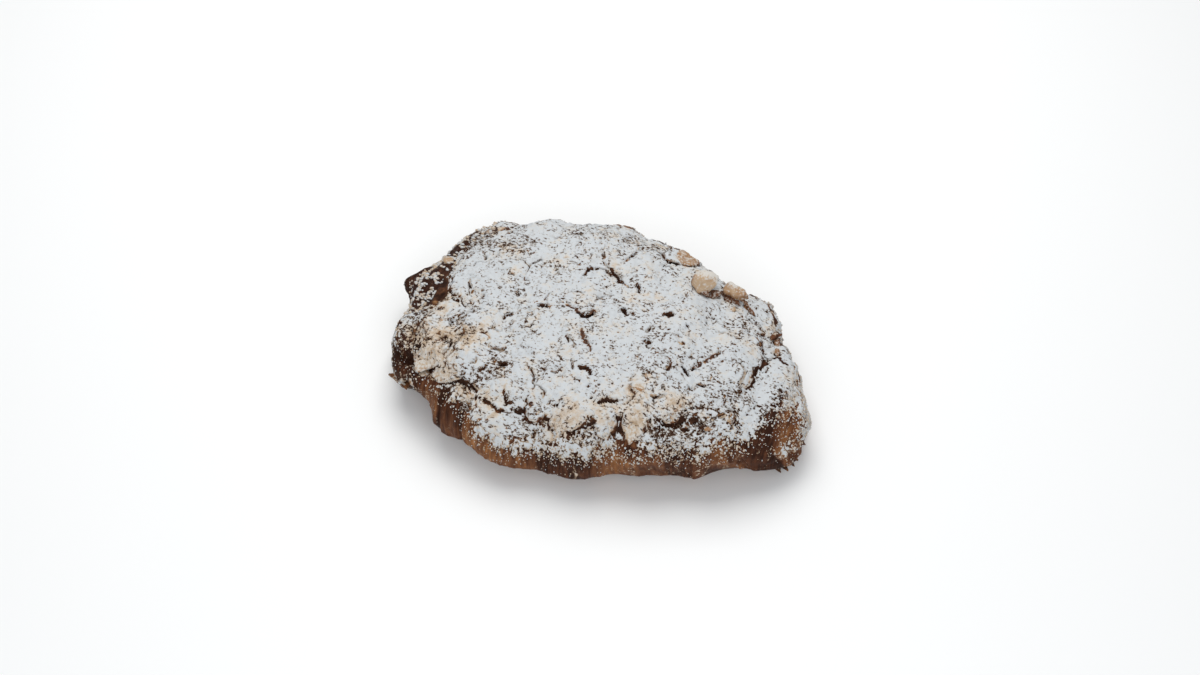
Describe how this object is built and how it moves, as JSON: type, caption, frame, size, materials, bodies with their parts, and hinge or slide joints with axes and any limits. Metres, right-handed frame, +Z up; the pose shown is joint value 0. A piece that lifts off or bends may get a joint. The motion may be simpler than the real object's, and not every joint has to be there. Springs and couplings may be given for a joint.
{
  "type": "almond croissant",
  "caption": "Flattened butter croissant baked with an almond cream top, flaked almonds and a heavy dusting of icing sugar.",
  "frame": {"origin": "on the tray plane, below the middle of the croissant's box", "axes": "+X along the roll's long axis, +Y to its back, +Z up"},
  "size_m": [0.167, 0.1164, 0.0435],
  "materials": {
    "baked_crust": "browned flaky dough, slight gloss",
    "almond_cream": "baked almond cream, matt and crumbly",
    "almond": "toasted almond slices, satin",
    "icing_sugar": "fine white powder, matt"
  },
  "bodies": {
    "root": {"croissant": "baked_crust", "almond_cream": "almond_cream", "almond_flake_01": "almond", "almond_flake_02": "almond", "almond_flake_03": "almond", "almond_flake_04": "almond", "almond_flake_05": "almond", "almond_flake_06": "almond", "almond_flake_07": "almond", "almond_flake_08": "almond", "almond_flake_09": "almond", "almond_flake_10": "almond", "almond_flake_11": "almond", "almond_flake_12": "almond", "almond_flake_13": "almond", "almond_flake_14": "almond", "almond_flake_15": "almond", "almond_flake_16": "almond", "almond_flake_17": "almond", "almond_flake_18": "almond", "almond_chunk_01": "almond", "almond_chunk_02": "almond"}
  },
  "joints": []
}
